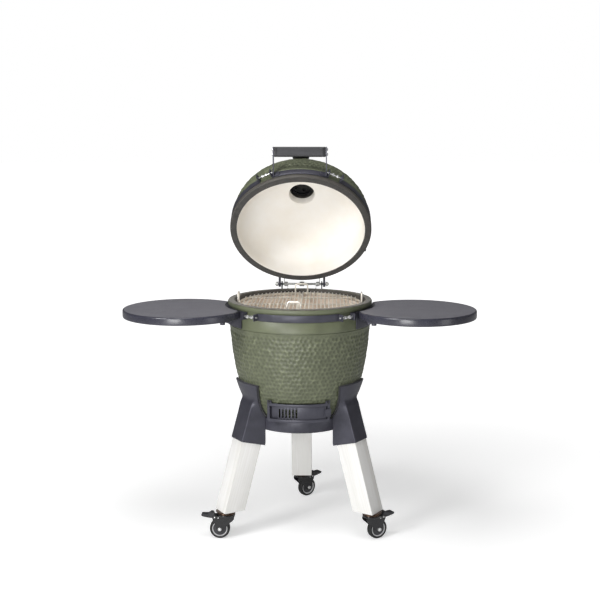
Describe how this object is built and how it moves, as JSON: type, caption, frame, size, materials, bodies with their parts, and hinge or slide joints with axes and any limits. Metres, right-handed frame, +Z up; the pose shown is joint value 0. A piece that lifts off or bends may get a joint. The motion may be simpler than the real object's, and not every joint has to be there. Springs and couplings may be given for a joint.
{
  "type": "kamado grill",
  "caption": "Ceramic kamado grill with an opening domed lid, on a splayed three-legged stand with swivel casters and folding round side shelves.",
  "frame": {"origin": "on the ground, under the middle of the object's bounding box with the lid open at rest", "axes": "+Z is up, the front with the draft door and the handle faces -Y, and +X is to the right seen from the front"},
  "size_m": [1.294, 0.7118, 1.4423],
  "materials": {
    "olive_ceramic": "olive glaze, satin, dimpled",
    "fireclay": "matt unglazed fireclay",
    "felt": "pressed black felt",
    "graphite_coat": "matt graphite powder coat",
    "stainless": "bright drawn stainless wire",
    "bright_bolts": "bright zinc and chrome",
    "spring_steel": "bright spring wire",
    "grate_iron": "bare cast iron",
    "vent_iron": "black coated cast iron",
    "white_wood": "whitewashed timber, grain just showing",
    "shelf_board": "dark grey painted board",
    "handle_grip": "fine textured black",
    "caster_steel": "black and bronze passivated steel",
    "caster_black": "black coated steel",
    "caster_tyre": "black tread with a light inlaid ring",
    "brake_plastic": "moulded nylon",
    "dial_face": "printed dial behind a lens"
  },
  "bodies": {
    "root": {"base_bowl": "olive_ceramic", "base_gasket": "felt", "firebox": "fireclay", "fire_ring": "fireclay", "charcoal_grate": "grate_iron", "rack_frame": "stainless", "grid_left": "stainless", "grid_right": "stainless", "lower_band_front": "graphite_coat", "lower_band_rear": "graphite_coat", "lower_band_bolts": "bright_bolts", "lower_hinge_bracket": "graphite_coat", "hinge_pin": "bright_bolts", "hinge_spring_left": "spring_steel", "hinge_spring_right": "spring_steel", "draft_frame": "graphite_coat", "draft_screen": "stainless", "draft_screws": "bright_bolts", "stand_ring": "graphite_coat", "leg_bracket_front_left": "graphite_coat", "leg_bracket_front_right": "graphite_coat", "leg_bracket_rear": "graphite_coat", "cradle_pads": "felt", "stand_bolts": "bright_bolts", "leg_front_left": "white_wood", "leg_front_right": "white_wood", "leg_rear": "white_wood", "caster_plates": "caster_steel", "shelf_bracket_left": "graphite_coat", "shelf_bracket_right": "graphite_coat"},
    "lid": {"dome": "olive_ceramic", "lid_gasket": "felt", "upper_band_front": "graphite_coat", "upper_band_rear": "graphite_coat", "upper_band_bolts": "bright_bolts", "upper_hinge_bracket": "graphite_coat", "handle_bar": "handle_grip", "handle_brackets": "graphite_coat", "handle_screws": "bright_bolts", "lid_catch": "graphite_coat", "thermometer_case": "vent_iron", "thermometer_dial": "dial_face", "vent_collar": "vent_iron"},
    "vent_cap": {"vent_cap": "vent_iron"},
    "daisy_wheel": {"daisy_wheel": "vent_iron"},
    "draft_door": {"draft_door": "graphite_coat"},
    "left_shelf": {"shelf_left": "shelf_board", "shelf_hinge_left": "graphite_coat"},
    "right_shelf": {"shelf_right": "shelf_board", "shelf_hinge_right": "graphite_coat"},
    "caster_front_left": {"fork_front_left": "caster_black"},
    "wheel_front_left": {"wheel_front_left": "caster_tyre"},
    "brake_front_left": {"brake_front_left": "brake_plastic"},
    "caster_front_right": {"fork_front_right": "caster_black"},
    "wheel_front_right": {"wheel_front_right": "caster_tyre"},
    "brake_front_right": {"brake_front_right": "brake_plastic"},
    "caster_rear": {"fork_rear": "caster_black"},
    "wheel_rear": {"wheel_rear": "caster_tyre"},
    "brake_rear": {"brake_rear": "brake_plastic"}
  },
  "joints": [
    {"name": "lid_hinge", "type": "hinge", "parent": "root", "child": "lid", "pos_m": [0, 0.272, 0.89], "axis": [-1, 0, 0], "range_deg": [-52.2, 0], "stiffness_Nm_per_rad": 41, "springref_deg": 31.51, "deforming": ["hinge_spring_left", "hinge_spring_right"]},
    {"name": "vent_swing", "type": "hinge", "parent": "lid", "child": "vent_cap", "pos_m": [0, 0.34248, 1.22563], "axis": [0, 0.7902, 0.6129], "range_deg": [0, 100]},
    {"name": "daisy_turn", "type": "hinge", "parent": "vent_cap", "child": "daisy_wheel", "pos_m": [0, 0.29941, 1.29094], "axis": [0, 0.7902, 0.6129], "range_deg": [0, 36]},
    {"name": "draft_slide", "type": "hinge", "parent": "root", "child": "draft_door", "pos_m": [0, -0.028, 0.49], "axis": [0, 0, 1], "range_deg": [-26.5, 0]},
    {"name": "left_shelf_fold", "type": "hinge", "parent": "root", "child": "left_shelf", "pos_m": [-0.28721, -0.09961, 0.815], "axis": [0.2419, -0.9703, 0], "range_deg": [0, 90]},
    {"name": "right_shelf_fold", "type": "hinge", "parent": "root", "child": "right_shelf", "pos_m": [0.28721, -0.09961, 0.815], "axis": [0.2419, 0.9703, 0], "range_deg": [0, 90]},
    {"name": "swivel_front_left", "type": "hinge", "parent": "root", "child": "caster_front_left", "pos_m": [-0.26977, -0.19332, 0.09], "axis": [0, 0, 1], "continuous": true},
    {"name": "roll_front_left", "type": "hinge", "parent": "caster_front_left", "child": "wheel_front_left", "pos_m": [-0.29378, -0.19332, 0.0375], "axis": [0, -1, 0], "continuous": true},
    {"name": "press_front_left", "type": "hinge", "parent": "caster_front_left", "child": "brake_front_left", "pos_m": [-0.31178, -0.19332, 0.084], "axis": [0, -1, 0], "range_deg": [0, 12]},
    {"name": "swivel_front_right", "type": "hinge", "parent": "root", "child": "caster_front_right", "pos_m": [0.26977, -0.19332, 0.09], "axis": [0, 0, 1], "continuous": true},
    {"name": "roll_front_right", "type": "hinge", "parent": "caster_front_right", "child": "wheel_front_right", "pos_m": [0.29056, -0.18132, 0.0375], "axis": [-0.5, 0.866, 0], "continuous": true},
    {"name": "press_front_right", "type": "hinge", "parent": "caster_front_right", "child": "brake_front_right", "pos_m": [0.30615, -0.17232, 0.084], "axis": [-0.5, 0.866, 0], "range_deg": [0, 12]},
    {"name": "swivel_rear", "type": "hinge", "parent": "root", "child": "caster_rear", "pos_m": [0, 0.2884, 0.09], "axis": [0, 0, 1], "continuous": true},
    {"name": "roll_rear", "type": "hinge", "parent": "caster_rear", "child": "wheel_rear", "pos_m": [0.01891, 0.30318, 0.0375], "axis": [-0.6157, 0.788, 0], "continuous": true},
    {"name": "press_rear", "type": "hinge", "parent": "caster_rear", "child": "brake_rear", "pos_m": [0.0331, 0.31426, 0.084], "axis": [-0.6157, 0.788, 0], "range_deg": [0, 12]}
  ]
}
